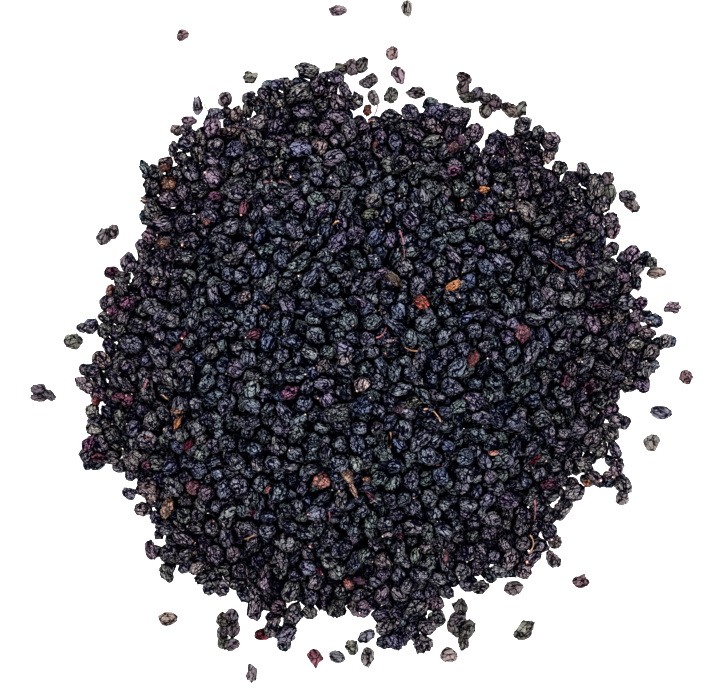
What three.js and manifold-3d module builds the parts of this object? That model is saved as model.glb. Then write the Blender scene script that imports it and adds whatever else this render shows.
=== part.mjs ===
// A heap of dried elderberries lying on a flat surface, with the loose berries that rolled
// off it. Millimetres, +Z up; the origin is on the surface, under the middle of the heap.
//
// The heap is one solid: a low mound whose skin is raised into one bump for each berry, with
// the whole berries of its ragged rim fused on. Berries of another colour sit in pockets of
// the heap, and each loose berry, or knot of berries stuck together, is a piece of its own.
import * as THREE from "three";
import { mergeVertices } from "three/addons/utils/BufferGeometryUtils.js";
import Module from "manifold-3d";

const wasm = await Module();
wasm.setup();

// ---------------------------------------------------------------- driving dimensions

const HEAP_HEIGHT = 34; // top of the berries in the middle of the heap
const FOOT_HEIGHT = 4.6; // the heap is one berry thick at its rim
const FOOT_WIDTH = 3; // how far in from the rim it starts to rise
const LATTICE = 6; // spacing of the heap's bumps, a little wider than a real berry
const BUMP = 0.5 * LATTICE; // half height of one bump
const HEIGHT_SHARE = 0.92; // height of a berry lying down, as a share of its width
const CLEARANCE = 0.4; // gap between a berry and the pocket that it sits in

// Radius of the heap every 10 degrees, counterclockwise from +X.
const RIM_RADII = [
  80, 80, 80, 80, 81, 80, 73, 74, 71, 73, 81, 82,
  79, 79, 78, 72, 75, 75, 77, 77, 80, 78, 78, 79,
  76, 78, 75, 71, 80, 73, 69, 75, 74, 72, 76, 77,
];

// Berries as [x, y, length, width, turn in degrees], lying on the surface.

// Whole berries of the rim, which touch the heap or a neighbour that does.
const RIM_BERRIES = [
  [19.4, 71.4, 4.6, 4, 0],
  [23.5, 69.7, 5, 4.4, -30],
  [37.8, 61.9, 4.8, 4.2, 0],
  [41.2, 61, 4.4, 3.6, 0],
  [44.6, 64.6, 4.2, 3.6, 60],
  [43.9, 61.9, 4.4, 4, 0],
  [47, 62.4, 4.2, 3.8, 20],
  [50.1, 62.6, 4.2, 3.6, -30],
  [52.9, 60, 5, 4, -40],
  [63.4, 50.2, 4.8, 3.8, 0],
  [64.6, 45.6, 5, 3.8, 70],
  [73.6, 28.6, 4.2, 3.6, 0],
  [76.6, 28.6, 4, 3.6, 0],
  [79.4, 28.2, 4.4, 3.8, 90],
  [76.4, 21.8, 4.4, 3.8, 90],
  [79.3, 12.3, 4.2, 3.6, 10],
  [82, 11, 4.8, 4.2, 0],
  [79.7, 4.4, 4.8, 3.6, 0],
  [83, 4.5, 4.6, 3.8, 0],
  [85.9, 5.2, 4.2, 3.8, 0],
  [80.9, -1.2, 5, 3.6, -40],
  [78.6, -5.6, 4.8, 3.6, -40],
  [71, -28.6, 5, 3.8, -20],
  [63.4, -33.4, 4, 3.8, 0],
  [66.3, -33.6, 4.4, 3.6, -20],
  [69, -33.4, 4.2, 4.6, 0],
  [71.9, -33.6, 4.2, 4.2, 0],
  [41.4, -58.6, 5, 4.4, 90],
  [35.4, -60.2, 4.8, 3.8, -45],
  [11.5, -77.6, 4.4, 4, 60],
  [6.6, -75.9, 4.2, 4, 0],
  [6.3, -78.9, 4.2, 3.8, 0],
  [-20.4, -74, 4.4, 3.8, 60],
  [-23.2, -76.4, 4.2, 3.8, 100],
  [-21.8, -79.4, 4.4, 4, 80],
  [-32.7, -65.9, 5, 4, -50],
  [-54.2, -58.6, 4.6, 3.8, 60],
  [-58, -53.9, 4.6, 3.8, 30],
  [-73.8, -28.8, 4.8, 3.4, 40],
  [-76.6, -29, 3.8, 3, 70],
  [-75.6, 9.8, 4.8, 4, 40],
  [-60, 40.2, 5, 4.2, 40],
  [-56.6, 50.6, 4.4, 3.4, 0],
  [-59.2, 51.6, 4, 3, 0],
  [-60.9, 53.6, 4.5, 2.8, -55],
  [-42.4, 66.2, 4.8, 3.8, 110],
  [-26, 76.6, 4.2, 3.8, 0],
  [-21.8, 77.4, 4.4, 3.8, 110],
  [-17.4, 77, 4.8, 4.2, 0],
  [-13, 77.4, 4.8, 3.4, 110],
  [-2.4, 72, 4.4, 4, 0],
];

// Loose berries round the heap. Each entry is one piece: a berry, or a knot of them.
const LOOSE = [
  [[12.6, 98.3, 4.2, 3.1, 100]],
  [[-7, 97.7, 4.5, 3.4, 0]],
  [[-50.1, 91, 3.4, 3.1, 30]],
  [[8.5, 85.7, 3.9, 3.4, 90]],
  [[10.2, 79.8, 4.8, 3.6, 110]],
  [[-5.9, 81.5, 4.4, 3.4, 15], [-2.7, 82, 5, 3.8, 100], [0, 82.7, 4.4, 3.8, 60]],
  [[1.9, 78, 5.3, 3.4, 25]],
  [[8.1, 73.8, 4.2, 3.4, 70]],
  [[3.3, 73.4, 4.6, 3.2, 110]],
  [[15, 74.9, 4.8, 3.4, 0]],
  [
    [28.4, 79, 4.2, 3.4, -30], [28.2, 76.2, 4.4, 3.6, 80], [29.6, 73.6, 4.4, 3.6, 0],
    [32.3, 74.4, 4, 3.6, 60], [34.8, 73, 4, 3.6, -30], [37.3, 72, 4.5, 3.6, 80],
    [34.6, 69.8, 4, 3.8, 90],
  ],
  [[41.6, 69.9, 4.8, 3.6, -40], [44.6, 70.1, 4.4, 3, 70]],
  [[74.2, 45.8, 5, 3.6, 0], [75.4, 43.4, 4.7, 3.4, -40]],
  [[68.6, 50.6, 4.5, 3.6, 60], [69.3, 46.8, 5.3, 3.6, 90]],
  [[82.5, 24.5, 5, 3.4, 0]],
  [[86.8, 14.7, 4.5, 3.4, 0]],
  [[90.7, -4.8, 4.2, 3.6, 100]],
  [[83.4, -14.6, 5.6, 3.9, -10]],
  [[81.1, -23.2, 4.8, 4.5, 0]],
  [[72.8, -38.5, 4.5, 3.6, 80]],
  [[54, -51, 3.9, 3.6, 0]],
  [[53.6, -55.6, 5, 3.6, 110]],
  [[61.3, -61.9, 4.2, 3.6, 0]],
  [[42.6, -64, 5.3, 4.6, 0]],
  [[45.4, -75.3, 5.6, 4.2, 45]],
  [[24.1, -82.6, 4.5, 4.2, 0]],
  [
    [27.4, -69.2, 4.6, 4, 90], [27.2, -72.4, 4.6, 4.2, 20], [25.9, -75.2, 5, 3.6, -60],
    [29.4, -75.4, 5.6, 4.2, 60], [28.6, -79, 4.2, 3, 80],
  ],
  [[1.2, -77.3, 5, 3.6, 25]],
  [[-3, -80, 4.5, 3.6, 100]],
  [[-7, -83, 4.2, 3.4, -20]],
  [[1.6, -83.2, 5, 3.6, 85]],
  [[-13.2, -83.4, 4.8, 3.9, 110]],
  [[-30.9, -87.6, 4.8, 3.1, 88]],
  [
    [-38.8, -72.6, 4.4, 4, 100], [-36.4, -71.9, 4.2, 3.9, 90], [-36, -75.1, 4.4, 3.6, 80],
    [-38.9, -76.1, 4, 3.6, 60], [-38.6, -79, 3.6, 3.2, 90], [-36.1, -79.6, 3.9, 3.4, 30],
  ],
  [[-54.6, -72.5, 4.8, 4.2, 0]],
  [[-90.8, -8.2, 4, 3.2, 10], [-90, -10.4, 4.4, 2.6, 0], [-87.9, -9.7, 4.4, 2.6, -35]],
  [[-80.7, 5.2, 4.6, 4.3, 0]],
  [[-72.4, 34.6, 4.5, 4.2, 80], [-69.8, 35.9, 4, 3.8, 70]],
  [[-52, 64.5, 3.4, 3.1, 0]],
  [[-48.4, 67, 4.2, 2.8, 0]],
  [[-46.1, 71.2, 4.8, 3.1, 95]],
  [[-38.4, 73, 4.2, 3.9, 90]],
  [[-31.2, 79.2, 3.9, 3.6, 0]],
  [[-27.8, -76.8, 4.8, 3.4, 15]],
];

// Berries of another colour in the heap's surface.
const COLOURED = [
  { name: "red_berry_01", colour: "red", at: [16.5, 16.2, 4.5, 3.6, -35] },
  { name: "red_berry_02", colour: "red", at: [-11.2, -33.6, 4.8, 4.3, 20] },
  { name: "red_berry_03", colour: "red", at: [44.5, 7.4, 4.8, 4.2, 70] },
  { name: "red_berry_04", colour: "red", at: [-47, -35.6, 4, 3.8, 0] },
  { name: "brown_berry_01", colour: "brown", at: [25.4, 20.6, 4.4, 3, 30] },
  { name: "brown_berry_02", colour: "brown", at: [-54, 49, 4.8, 4, -50] },
  { name: "brown_berry_03", colour: "brown", at: [-54.4, -41.2, 5.8, 3.2, 70] },
  { name: "brown_berry_04", colour: "brown", at: [-4.6, -31, 6.4, 3, -60] },
];

const MATERIALS = {
  black: new THREE.MeshStandardMaterial({ color: 0x23242e, roughness: 0.55 }),
  plum: new THREE.MeshStandardMaterial({ color: 0x34232d, roughness: 0.55 }),
  red: new THREE.MeshStandardMaterial({ color: 0x7c2018, roughness: 0.5 }),
  brown: new THREE.MeshStandardMaterial({ color: 0x9a6032, roughness: 0.65 }),
};
for (const material of Object.values(MATERIALS)) {
  material.flatShading = true;
}

// ---------------------------------------------------------------- repeatable random draws

// A number from 0 to 1 that depends only on a, b and c.
function draw(a, b = 0, c = 0) {
  const s = Math.sin(a * 127.1 + b * 311.7 + c * 74.7) * 43758.5453;
  return s - Math.floor(s);
}

// The same, from -1 to 1.
function drawSigned(a, b, c) {
  return 2 * draw(a, b, c) - 1;
}

// ---------------------------------------------------------------- the mound

function rimRadius(angle) {
  const steps = RIM_RADII.length;
  const at = ((angle / (2 * Math.PI)) * steps + steps) % steps;
  const from = Math.floor(at) % steps;
  const share = at - Math.floor(at);
  const eased = share * share * (3 - 2 * share);
  return THREE.MathUtils.lerp(RIM_RADII[from], RIM_RADII[(from + 1) % steps], eased);
}

// Height of the berries' tops over a point: a thin foot, steep flanks, a rounded middle and
// long shallow swells.
function moundHeight(x, y) {
  const rim = rimRadius(Math.atan2(y, x));
  const inward = rim - Math.hypot(x, y) - FOOT_WIDTH;
  const share = THREE.MathUtils.clamp(inward / (rim - FOOT_WIDTH), 0, 1);
  const rise = Math.sin((share * Math.PI) / 2) ** 1.25;
  const swell = 0.7 * Math.sin(x / 11 + 1.3) * Math.cos(y / 9 - 0.4) + 0.5 * Math.sin((x + y) / 6);
  return FOOT_HEIGHT + (HEAP_HEIGHT - FOOT_HEIGHT) * rise + swell * Math.min(1, 4 * share);
}

// ---------------------------------------------------------------- the heap's bumps

const RING_SIDES = 5; // corners of a bump's flat top
const RING_REACH = 0.6; // how far out they lie, as a share of the bump
const STEPS_ROUND = [[1, 0], [0, 1], [-1, 1], [-1, 0], [0, -1], [1, -1]];

// Centre of a bump in a jittered hexagonal lattice.
function bumpCentre(q, r) {
  const jitter = 0.17 * LATTICE;
  return [
    LATTICE * (q + r / 2) + jitter * drawSigned(q, r, 1),
    LATTICE * (Math.sqrt(3) / 2) * r + jitter * drawSigned(q, r, 2),
  ];
}

function isInHeap(q, r) {
  const [x, y] = bumpCentre(q, r);
  return Math.hypot(x, y) < rimRadius(Math.atan2(y, x)) - 0.15 * LATTICE;
}

// Triangles between an inner ring of points and an outer one, both counterclockwise round
// the same centre.
function stitchRings(inner, outer, triangles) {
  const turn = 2 * Math.PI;
  const start = inner[0].angle;
  const unwound = (ring, offset) =>
    ring.map((p) => ({ id: p.id, angle: (((p.angle - offset) % turn) + turn) % turn }))
      .sort((a, b) => a.angle - b.angle);
  const a = unwound(inner, start);
  const b = unwound(outer, start);
  a.push({ id: a[0].id, angle: turn });
  b.push({ id: b[0].id, angle: b[0].angle + turn });
  let i = 0;
  let j = 0;
  while (i < a.length - 1 || j < b.length - 1) {
    const stepOut = j < b.length - 1 && (i === a.length - 1 || b[j + 1].angle < a[i + 1].angle);
    if (stepOut) {
      triangles.push([a[i].id, b[j].id, b[j + 1].id]);
      j += 1;
    } else {
      triangles.push([a[i].id, b[j].id, a[i + 1].id]);
      i += 1;
    }
  }
}

// The mound with one bump for each berry, closed by a flat underside.
function heapGeometry() {
  const points = [];
  const triangles = [];
  const valleys = new Map();
  const rimSteps = new Map();

  // The low point where three bumps meet, or the foot of the wall where one is missing.
  function valley(q, r, side) {
    const [dq, dr] = STEPS_ROUND[side];
    const [eq, er] = STEPS_ROUND[(side + 1) % 6];
    const three = [[q, r], [q + dq, r + dr], [q + eq, r + er]];
    const key = three.map((c) => c.join()).sort().join(" ");
    if (!valleys.has(key)) {
      const centres = three.map(([a, b]) => bumpCentre(a, b));
      const x = (centres[0][0] + centres[1][0] + centres[2][0]) / 3;
      const y = (centres[0][1] + centres[1][1] + centres[2][1]) / 3;
      const inside = three.every(([a, b]) => isInHeap(a, b));
      const z = inside ? moundHeight(x, y) - BUMP * (0.95 + 0.2 * draw(x, y)) : 0;
      valleys.set(key, points.push([x, y, z]) - 1);
    }
    return valleys.get(key);
  }

  const reach = Math.ceil((1.2 * Math.max(...RIM_RADII)) / LATTICE);
  for (let r = -2 * reach; r <= 2 * reach; r++) {
    for (let q = -2 * reach; q <= 2 * reach; q++) {
      if (!isInHeap(q, r)) continue;
      const [x, y] = bumpCentre(q, r);
      const outer = STEPS_ROUND.map((_, side) => {
        const id = valley(q, r, side);
        const [px, py] = points[id];
        return { id, angle: Math.atan2(py - y, px - x), far: Math.hypot(px - x, py - y) };
      });
      const lift = 0.32 * BUMP * drawSigned(q, r, 3);
      const tilt = [0.25 * drawSigned(q, r, 4), 0.25 * drawSigned(q, r, 5)];
      const meanFar = outer.reduce((sum, p) => sum + p.far, 0) / 6;
      const inner = [];
      for (let k = 0; k < RING_SIDES; k++) {
        const angle = (2 * Math.PI * (k + 0.35 * draw(q, r, 10 + k) + draw(q, r, 6))) / RING_SIDES;
        const dx = RING_REACH * meanFar * Math.cos(angle);
        const dy = RING_REACH * meanFar * Math.sin(angle);
        const sag = BUMP * (0.12 + 0.16 * draw(q, r, 20 + k));
        const z = moundHeight(x + dx, y + dy) + lift + tilt[0] * dx + tilt[1] * dy - sag;
        inner.push({ id: points.push([x + dx, y + dy, z]) - 1, angle });
      }
      for (let k = 1; k < RING_SIDES - 1; k++) {
        triangles.push([inner[0].id, inner[k].id, inner[k + 1].id]);
      }
      stitchRings(inner, outer, triangles);
      STEPS_ROUND.forEach(([dq, dr], side) => {
        if (!isInHeap(q + dq, r + dr)) rimSteps.set(outer[(side + 5) % 6].id, outer[side].id);
      });
    }
  }

  const underside = [[...rimSteps.keys()][0]];
  while (rimSteps.get(underside.at(-1)) !== underside[0]) {
    underside.push(rimSteps.get(underside.at(-1)));
  }
  const flat = underside.map((id) => new THREE.Vector2(points[id][0], points[id][1]));
  for (const [a, b, c] of THREE.ShapeUtils.triangulateShape(flat, [])) {
    triangles.push([underside[a], underside[c], underside[b]]);
  }
  return new THREE.BufferGeometry()
    .setAttribute("position", new THREE.Float32BufferAttribute(points.flat(), 3))
    .setIndex(triangles.flat());
}

// ---------------------------------------------------------------- single berries

// A shrunken berry: an uneven ellipsoid, on some drawn out to a point, with a small flat
// on which it lies at the height low.
function berryGeometry([x, y, length, width, turn], detail, low = 0, grow = 0) {
  const seed = x * 3.7 + y * 1.3;
  const point = draw(seed, 1) < 0.35 ? 0.3 : 0;
  const height = HEIGHT_SHARE * width;
  const spread = [
    new THREE.Vector3(drawSigned(seed, 2), drawSigned(seed, 3), drawSigned(seed, 4)),
    new THREE.Vector3(drawSigned(seed, 5), drawSigned(seed, 6), drawSigned(seed, 7)),
  ];
  const geometry = new THREE.IcosahedronGeometry(1, detail);
  const position = geometry.getAttribute("position");
  const v = new THREE.Vector3();
  for (let i = 0; i < position.count; i++) {
    v.fromBufferAttribute(position, i);
    const folds = Math.sin(3.1 * v.dot(spread[0]) * 2 + seed) * Math.cos(2.7 * v.dot(spread[1]) * 2);
    const reach = 1 + 0.1 * folds + point * Math.max(0, v.x) ** 3;
    v.multiplyScalar(reach / (1 + 0.5 * point));
    v.set(v.x * (length / 2 + grow), v.y * (width / 2 + grow), v.z * (height / 2 + grow));
    v.z = Math.max(v.z, -0.9 * (height / 2 + grow));
    position.setXYZ(i, v.x, v.y, v.z);
  }
  geometry.rotateZ(THREE.MathUtils.degToRad(turn));
  geometry.computeBoundingBox();
  geometry.translate(x, y, low - grow - geometry.boundingBox.min.z);
  return geometry;
}

// ---------------------------------------------------------------- solids

function toSolid(geometry) {
  const bare = geometry.clone();
  bare.deleteAttribute("normal");
  bare.deleteAttribute("uv");
  const merged = mergeVertices(bare, 1e-4);
  return new wasm.Manifold(
    new wasm.Mesh({
      numProp: 3,
      vertProperties: merged.getAttribute("position").array,
      triVerts: new Uint32Array(merged.index.array),
    }),
  );
}

function toMesh(name, solid, material) {
  const made = solid.getMesh();
  const geometry = new THREE.BufferGeometry()
    .setAttribute("position", new THREE.BufferAttribute(made.vertProperties, 3))
    .setIndex(new THREE.BufferAttribute(made.triVerts, 1));
  geometry.computeVertexNormals();
  const mesh = new THREE.Mesh(geometry, material);
  mesh.name = name;
  return mesh;
}

// ---------------------------------------------------------------- the pieces

const RIM_DETAIL = 0; // a 20-sided berry
const LOOSE_DETAIL = 1; // an 80-sided one
const PROUD = 0.9; // how far a coloured berry stands above the tops round it

function colouredSolid({ at }, grow = 0) {
  const low = moundHeight(at[0], at[1]) + PROUD - HEIGHT_SHARE * at[3];
  return toSolid(berryGeometry(at, LOOSE_DETAIL, low, grow));
}

function heapSolid() {
  let heap = toSolid(heapGeometry());
  for (const berry of RIM_BERRIES) {
    heap = heap.add(toSolid(berryGeometry(berry, RIM_DETAIL)));
  }
  for (const berry of COLOURED) {
    heap = heap.subtract(colouredSolid(berry, CLEARANCE));
  }
  return heap;
}

const part = new THREE.Group();
part.name = "dried_elderberry_heap";
part.add(toMesh("berry_heap", heapSolid(), MATERIALS.black));

for (const berry of COLOURED) {
  part.add(toMesh(berry.name, colouredSolid(berry), MATERIALS[berry.colour]));
}

LOOSE.forEach((members, index) => {
  let knot = toSolid(berryGeometry(members[0], members.length > 1 ? RIM_DETAIL : LOOSE_DETAIL));
  for (const member of members.slice(1)) {
    knot = knot.add(toSolid(berryGeometry(member, RIM_DETAIL)));
  }
  const kind = members.length > 1 ? "berry_knot" : "loose_berry";
  const number = String(index + 1).padStart(2, "0");
  part.add(toMesh(`${kind}_${number}`, knot, index % 3 === 1 ? MATERIALS.plum : MATERIALS.black));
});

export default part;
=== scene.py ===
import itertools
import math

import bpy
import numpy as np
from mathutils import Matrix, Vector
from mathutils.bvhtree import BVHTree


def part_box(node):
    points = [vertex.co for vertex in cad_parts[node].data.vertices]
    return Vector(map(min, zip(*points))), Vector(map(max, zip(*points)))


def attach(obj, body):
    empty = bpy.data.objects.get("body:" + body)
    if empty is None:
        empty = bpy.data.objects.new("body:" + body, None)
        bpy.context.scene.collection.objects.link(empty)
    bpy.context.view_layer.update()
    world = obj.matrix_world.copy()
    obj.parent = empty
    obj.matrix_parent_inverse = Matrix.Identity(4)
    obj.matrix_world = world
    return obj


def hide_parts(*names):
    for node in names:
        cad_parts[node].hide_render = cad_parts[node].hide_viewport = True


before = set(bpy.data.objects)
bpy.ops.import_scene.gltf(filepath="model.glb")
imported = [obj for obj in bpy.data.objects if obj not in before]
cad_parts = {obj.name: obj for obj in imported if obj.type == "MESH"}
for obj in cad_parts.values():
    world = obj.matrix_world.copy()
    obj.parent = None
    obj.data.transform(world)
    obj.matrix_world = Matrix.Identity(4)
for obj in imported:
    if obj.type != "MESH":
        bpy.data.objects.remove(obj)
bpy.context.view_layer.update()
rng = np.random.default_rng(11)

MM = 0.001
MEAN_RADIUS = 2.1  # of a berry in the heap
RADIUS_SPREAD = 0.32
RADIUS_RANGE = (1.5, 2.8)
REACH = 100  # the grids run from -REACH to REACH in x and in y
GRID = 0.5  # spacing of the grid on which berries roll
SKY = 99  # above the heap
FAR = 1e3  # further than anything here
FOOT = 7.4  # height of the heap's edge, where it is about two berries thick
HEADROOM = 0.5  # how far a berry may stand above the smoothed solid
TRIES = 160  # berries dropped before the free places are listed again
CEILING = 35.2  # no berry stands higher
CALYX_SHARE = 0.25  # of the berries show the crown at their end
RIM_SHARE = 0.45  # of those crowns have a reddish rim
CROWN_TIPS = 5
STALK_STEPS = 9  # rings of points along a stalk
STALK_SIDES = 6
FULL_TURN = 6.28  # random turns go up to this angle, in radians
COVER = 0.95  # share of its radius over which a berry hides the floor
SQUEEZE = 0.62  # closer than this share of their radii, a guest pushes a berry out
TOUCHING = 6  # berries whose middles are further apart count as clear of one another
HALF_VIEW = 110  # half the width of what a far eye sees
EYE_CELL = 0.45  # size of the cells in which it counts what shows
FINE_ABOVE = 20  # cells shown straight above from which a skin is fine
MEDIUM_ABOVE = 6  # and from which it is of medium detail
MEDIUM_AROUND = 26  # or cells shown to any far eye
PLAIN_AROUND = 5  # from which one that hardly shows is plain, and not rough
PIECE_LIMIT = 185000  # triangles after which the heap's berries go on in a new piece

# Berries that lie singly, as [x, y, length, width, turn in degrees].
# Whole berries of the heap's rim.
RIM = [
    [19.4, 71.4, 4.6, 4, 0], [23.5, 69.7, 5, 4.4, -30], [37.8, 61.9, 4.8, 4.2, 0],
    [41.2, 61, 4.4, 3.6, 0], [44.6, 64.6, 4.2, 3.6, 60], [43.9, 61.9, 4.4, 4, 0],
    [47, 62.4, 4.2, 3.8, 20], [50.1, 62.6, 4.2, 3.6, -30], [52.9, 60, 5, 4, -40],
    [63.4, 50.2, 4.8, 3.8, 0], [64.6, 45.6, 5, 3.8, 70], [73.6, 28.6, 4.2, 3.6, 0],
    [76.6, 28.6, 4, 3.6, 0], [79.4, 28.2, 4.4, 3.8, 90], [76.4, 21.8, 4.4, 3.8, 90],
    [79.3, 12.3, 4.2, 3.6, 10], [82, 11, 4.8, 4.2, 0], [79.7, 4.4, 4.8, 3.6, 0],
    [83, 4.5, 4.6, 3.8, 0], [85.9, 5.2, 4.2, 3.8, 0], [80.9, -1.2, 5, 3.6, -40],
    [78.6, -5.6, 4.8, 3.6, -40], [71, -28.6, 5, 3.8, -20], [63.4, -33.4, 4, 3.8, 0],
    [66.3, -33.6, 4.4, 3.6, -20], [69, -33.4, 4.2, 4.6, 0], [71.9, -33.6, 4.2, 4.2, 0],
    [41.4, -58.6, 5, 4.4, 90], [35.4, -60.2, 4.8, 3.8, -45], [11.5, -77.6, 4.4, 4, 60],
    [6.6, -75.9, 4.2, 4, 0], [6.3, -78.9, 4.2, 3.8, 0], [-20.4, -74, 4.4, 3.8, 60],
    [-23.2, -76.4, 4.2, 3.8, 100], [-21.8, -79.4, 4.4, 4, 80], [-32.7, -65.9, 5, 4, -50],
    [-54.2, -58.6, 4.6, 3.8, 60], [-58, -53.9, 4.6, 3.8, 30], [-73.8, -28.8, 4.8, 3.4, 40],
    [-76.6, -29, 3.8, 3, 70], [-75.6, 9.8, 4.8, 4, 40], [-60, 40.2, 5, 4.2, 40],
    [-56.6, 50.6, 4.4, 3.4, 0], [-59.2, 51.6, 4, 3, 0], [-60.9, 53.6, 4.5, 2.8, -55],
    [-42.4, 66.2, 4.8, 3.8, 110], [-26, 76.6, 4.2, 3.8, 0], [-21.8, 77.4, 4.4, 3.8, 110],
    [-17.4, 77, 4.8, 4.2, 0], [-13, 77.4, 4.8, 3.4, 110], [-2.4, 72, 4.4, 4, 0],
]

# Loose berries and knots of them, in the order of their nodes' numbers.
LOOSE = [
    [[12.6, 98.3, 4.2, 3.1, 100]],
    [[-7, 97.7, 4.5, 3.4, 0]],
    [[-50.1, 91, 3.4, 3.1, 30]],
    [[8.5, 85.7, 3.9, 3.4, 90]],
    [[10.2, 79.8, 4.8, 3.6, 110]],
    [[-5.9, 81.5, 4.4, 3.4, 15], [-2.7, 82, 5, 3.8, 100], [0, 82.7, 4.4, 3.8, 60]],
    [[1.9, 78, 5.3, 3.4, 25]],
    [[8.1, 73.8, 4.2, 3.4, 70]],
    [[3.3, 73.4, 4.6, 3.2, 110]],
    [[15, 74.9, 4.8, 3.4, 0]],
    [
        [28.4, 79, 4.2, 3.4, -30], [28.2, 76.2, 4.4, 3.6, 80], [29.6, 73.6, 4.4, 3.6, 0],
        [32.3, 74.4, 4, 3.6, 60], [34.8, 73, 4, 3.6, -30], [37.3, 72, 4.5, 3.6, 80],
        [34.6, 69.8, 4, 3.8, 90],
    ],
    [[41.6, 69.9, 4.8, 3.6, -40], [44.6, 70.1, 4.4, 3, 70]],
    [[74.2, 45.8, 5, 3.6, 0], [75.4, 43.4, 4.7, 3.4, -40]],
    [[68.6, 50.6, 4.5, 3.6, 60], [69.3, 46.8, 5.3, 3.6, 90]],
    [[82.5, 24.5, 5, 3.4, 0]],
    [[86.8, 14.7, 4.5, 3.4, 0]],
    [[90.7, -4.8, 4.2, 3.6, 100]],
    [[83.4, -14.6, 5.6, 3.9, -10]],
    [[81.1, -23.2, 4.8, 4.5, 0]],
    [[72.8, -38.5, 4.5, 3.6, 80]],
    [[54, -51, 3.9, 3.6, 0]],
    [[53.6, -55.6, 5, 3.6, 110]],
    [[61.3, -61.9, 4.2, 3.6, 0]],
    [[42.6, -64, 5.3, 4.6, 0]],
    [[45.4, -75.3, 5.6, 4.2, 45]],
    [[24.1, -82.6, 4.5, 4.2, 0]],
    [
        [27.4, -69.2, 4.6, 4, 90], [27.2, -72.4, 4.6, 4.2, 20], [25.9, -75.2, 5, 3.6, -60],
        [29.4, -75.4, 5.6, 4.2, 60], [28.6, -79, 4.2, 3, 80],
    ],
    [[1.2, -77.3, 5, 3.6, 25]],
    [[-3, -80, 4.5, 3.6, 100]],
    [[-7, -83, 4.2, 3.4, -20]],
    [[1.6, -83.2, 5, 3.6, 85]],
    [[-13.2, -83.4, 4.8, 3.9, 110]],
    [[-30.9, -87.6, 4.8, 3.1, 88]],
    [
        [-38.8, -72.6, 4.4, 4, 100], [-36.4, -71.9, 4.2, 3.9, 90], [-36, -75.1, 4.4, 3.6, 80],
        [-38.9, -76.1, 4, 3.6, 60], [-38.6, -79, 3.6, 3.2, 90], [-36.1, -79.6, 3.9, 3.4, 30],
    ],
    [[-54.6, -72.5, 4.8, 4.2, 0]],
    [[-90.8, -8.2, 4, 3.2, 10], [-90, -10.4, 4.4, 2.6, 0], [-87.9, -9.7, 4.4, 2.6, -35]],
    [[-80.7, 5.2, 4.6, 4.3, 0]],
    [[-72.4, 34.6, 4.5, 4.2, 80], [-69.8, 35.9, 4, 3.8, 70]],
    [[-52, 64.5, 3.4, 3.1, 0]],
    [[-48.4, 67, 4.2, 2.8, 0]],
    [[-46.1, 71.2, 4.8, 3.1, 95]],
    [[-38.4, 73, 4.2, 3.9, 90]],
    [[-31.2, 79.2, 3.9, 3.6, 0]],
    [[-27.8, -76.8, 4.8, 3.4, 15]],
]

# Their tints, where they aren't dark, by number.
LOOSE_TINTS = {
    3: "dusty", 16: "lilac", 17: "dusty", 21: "drab",
    23: "dusty", 32: "rose", 39: "drab", 44: "ruby",
}
LOOSE_TONE = (1.06, 0.94, 0.91)  # the others are a little redder than the heap
KNOT_SHADES = {1: 1.0, 2: 0.85}  # and darker where two lie together
LARGE_KNOT_SHADE = 0.68  # or more than two

# Berries of another colour in the heap's surface: node, skin colour, place.
COLOURED = [
    ("red_berry_01", "red", [16.5, 16.2, 4.5, 3.6, -35]),
    ("red_berry_02", "coral", [-11.2, -33.6, 4.8, 4.3, 20]),
    ("red_berry_03", "maroon", [44.5, 7.4, 4.8, 4.2, 70]),
    ("red_berry_04", "maroon", [-47, -35.6, 4, 3.8, 0]),
    ("brown_berry_01", "orange", [25.4, 20.6, 4.4, 2.5, 30]),
    ("brown_berry_02", "brown", [-54, 49, 4.8, 4, -50]),
    ("brown_berry_03", "tan", [-54.4, -41.2, 5.8, 3.2, 70]),
    ("brown_berry_04", "tan", [-4.6, -31, 6.4, 3, -60]),
]

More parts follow.
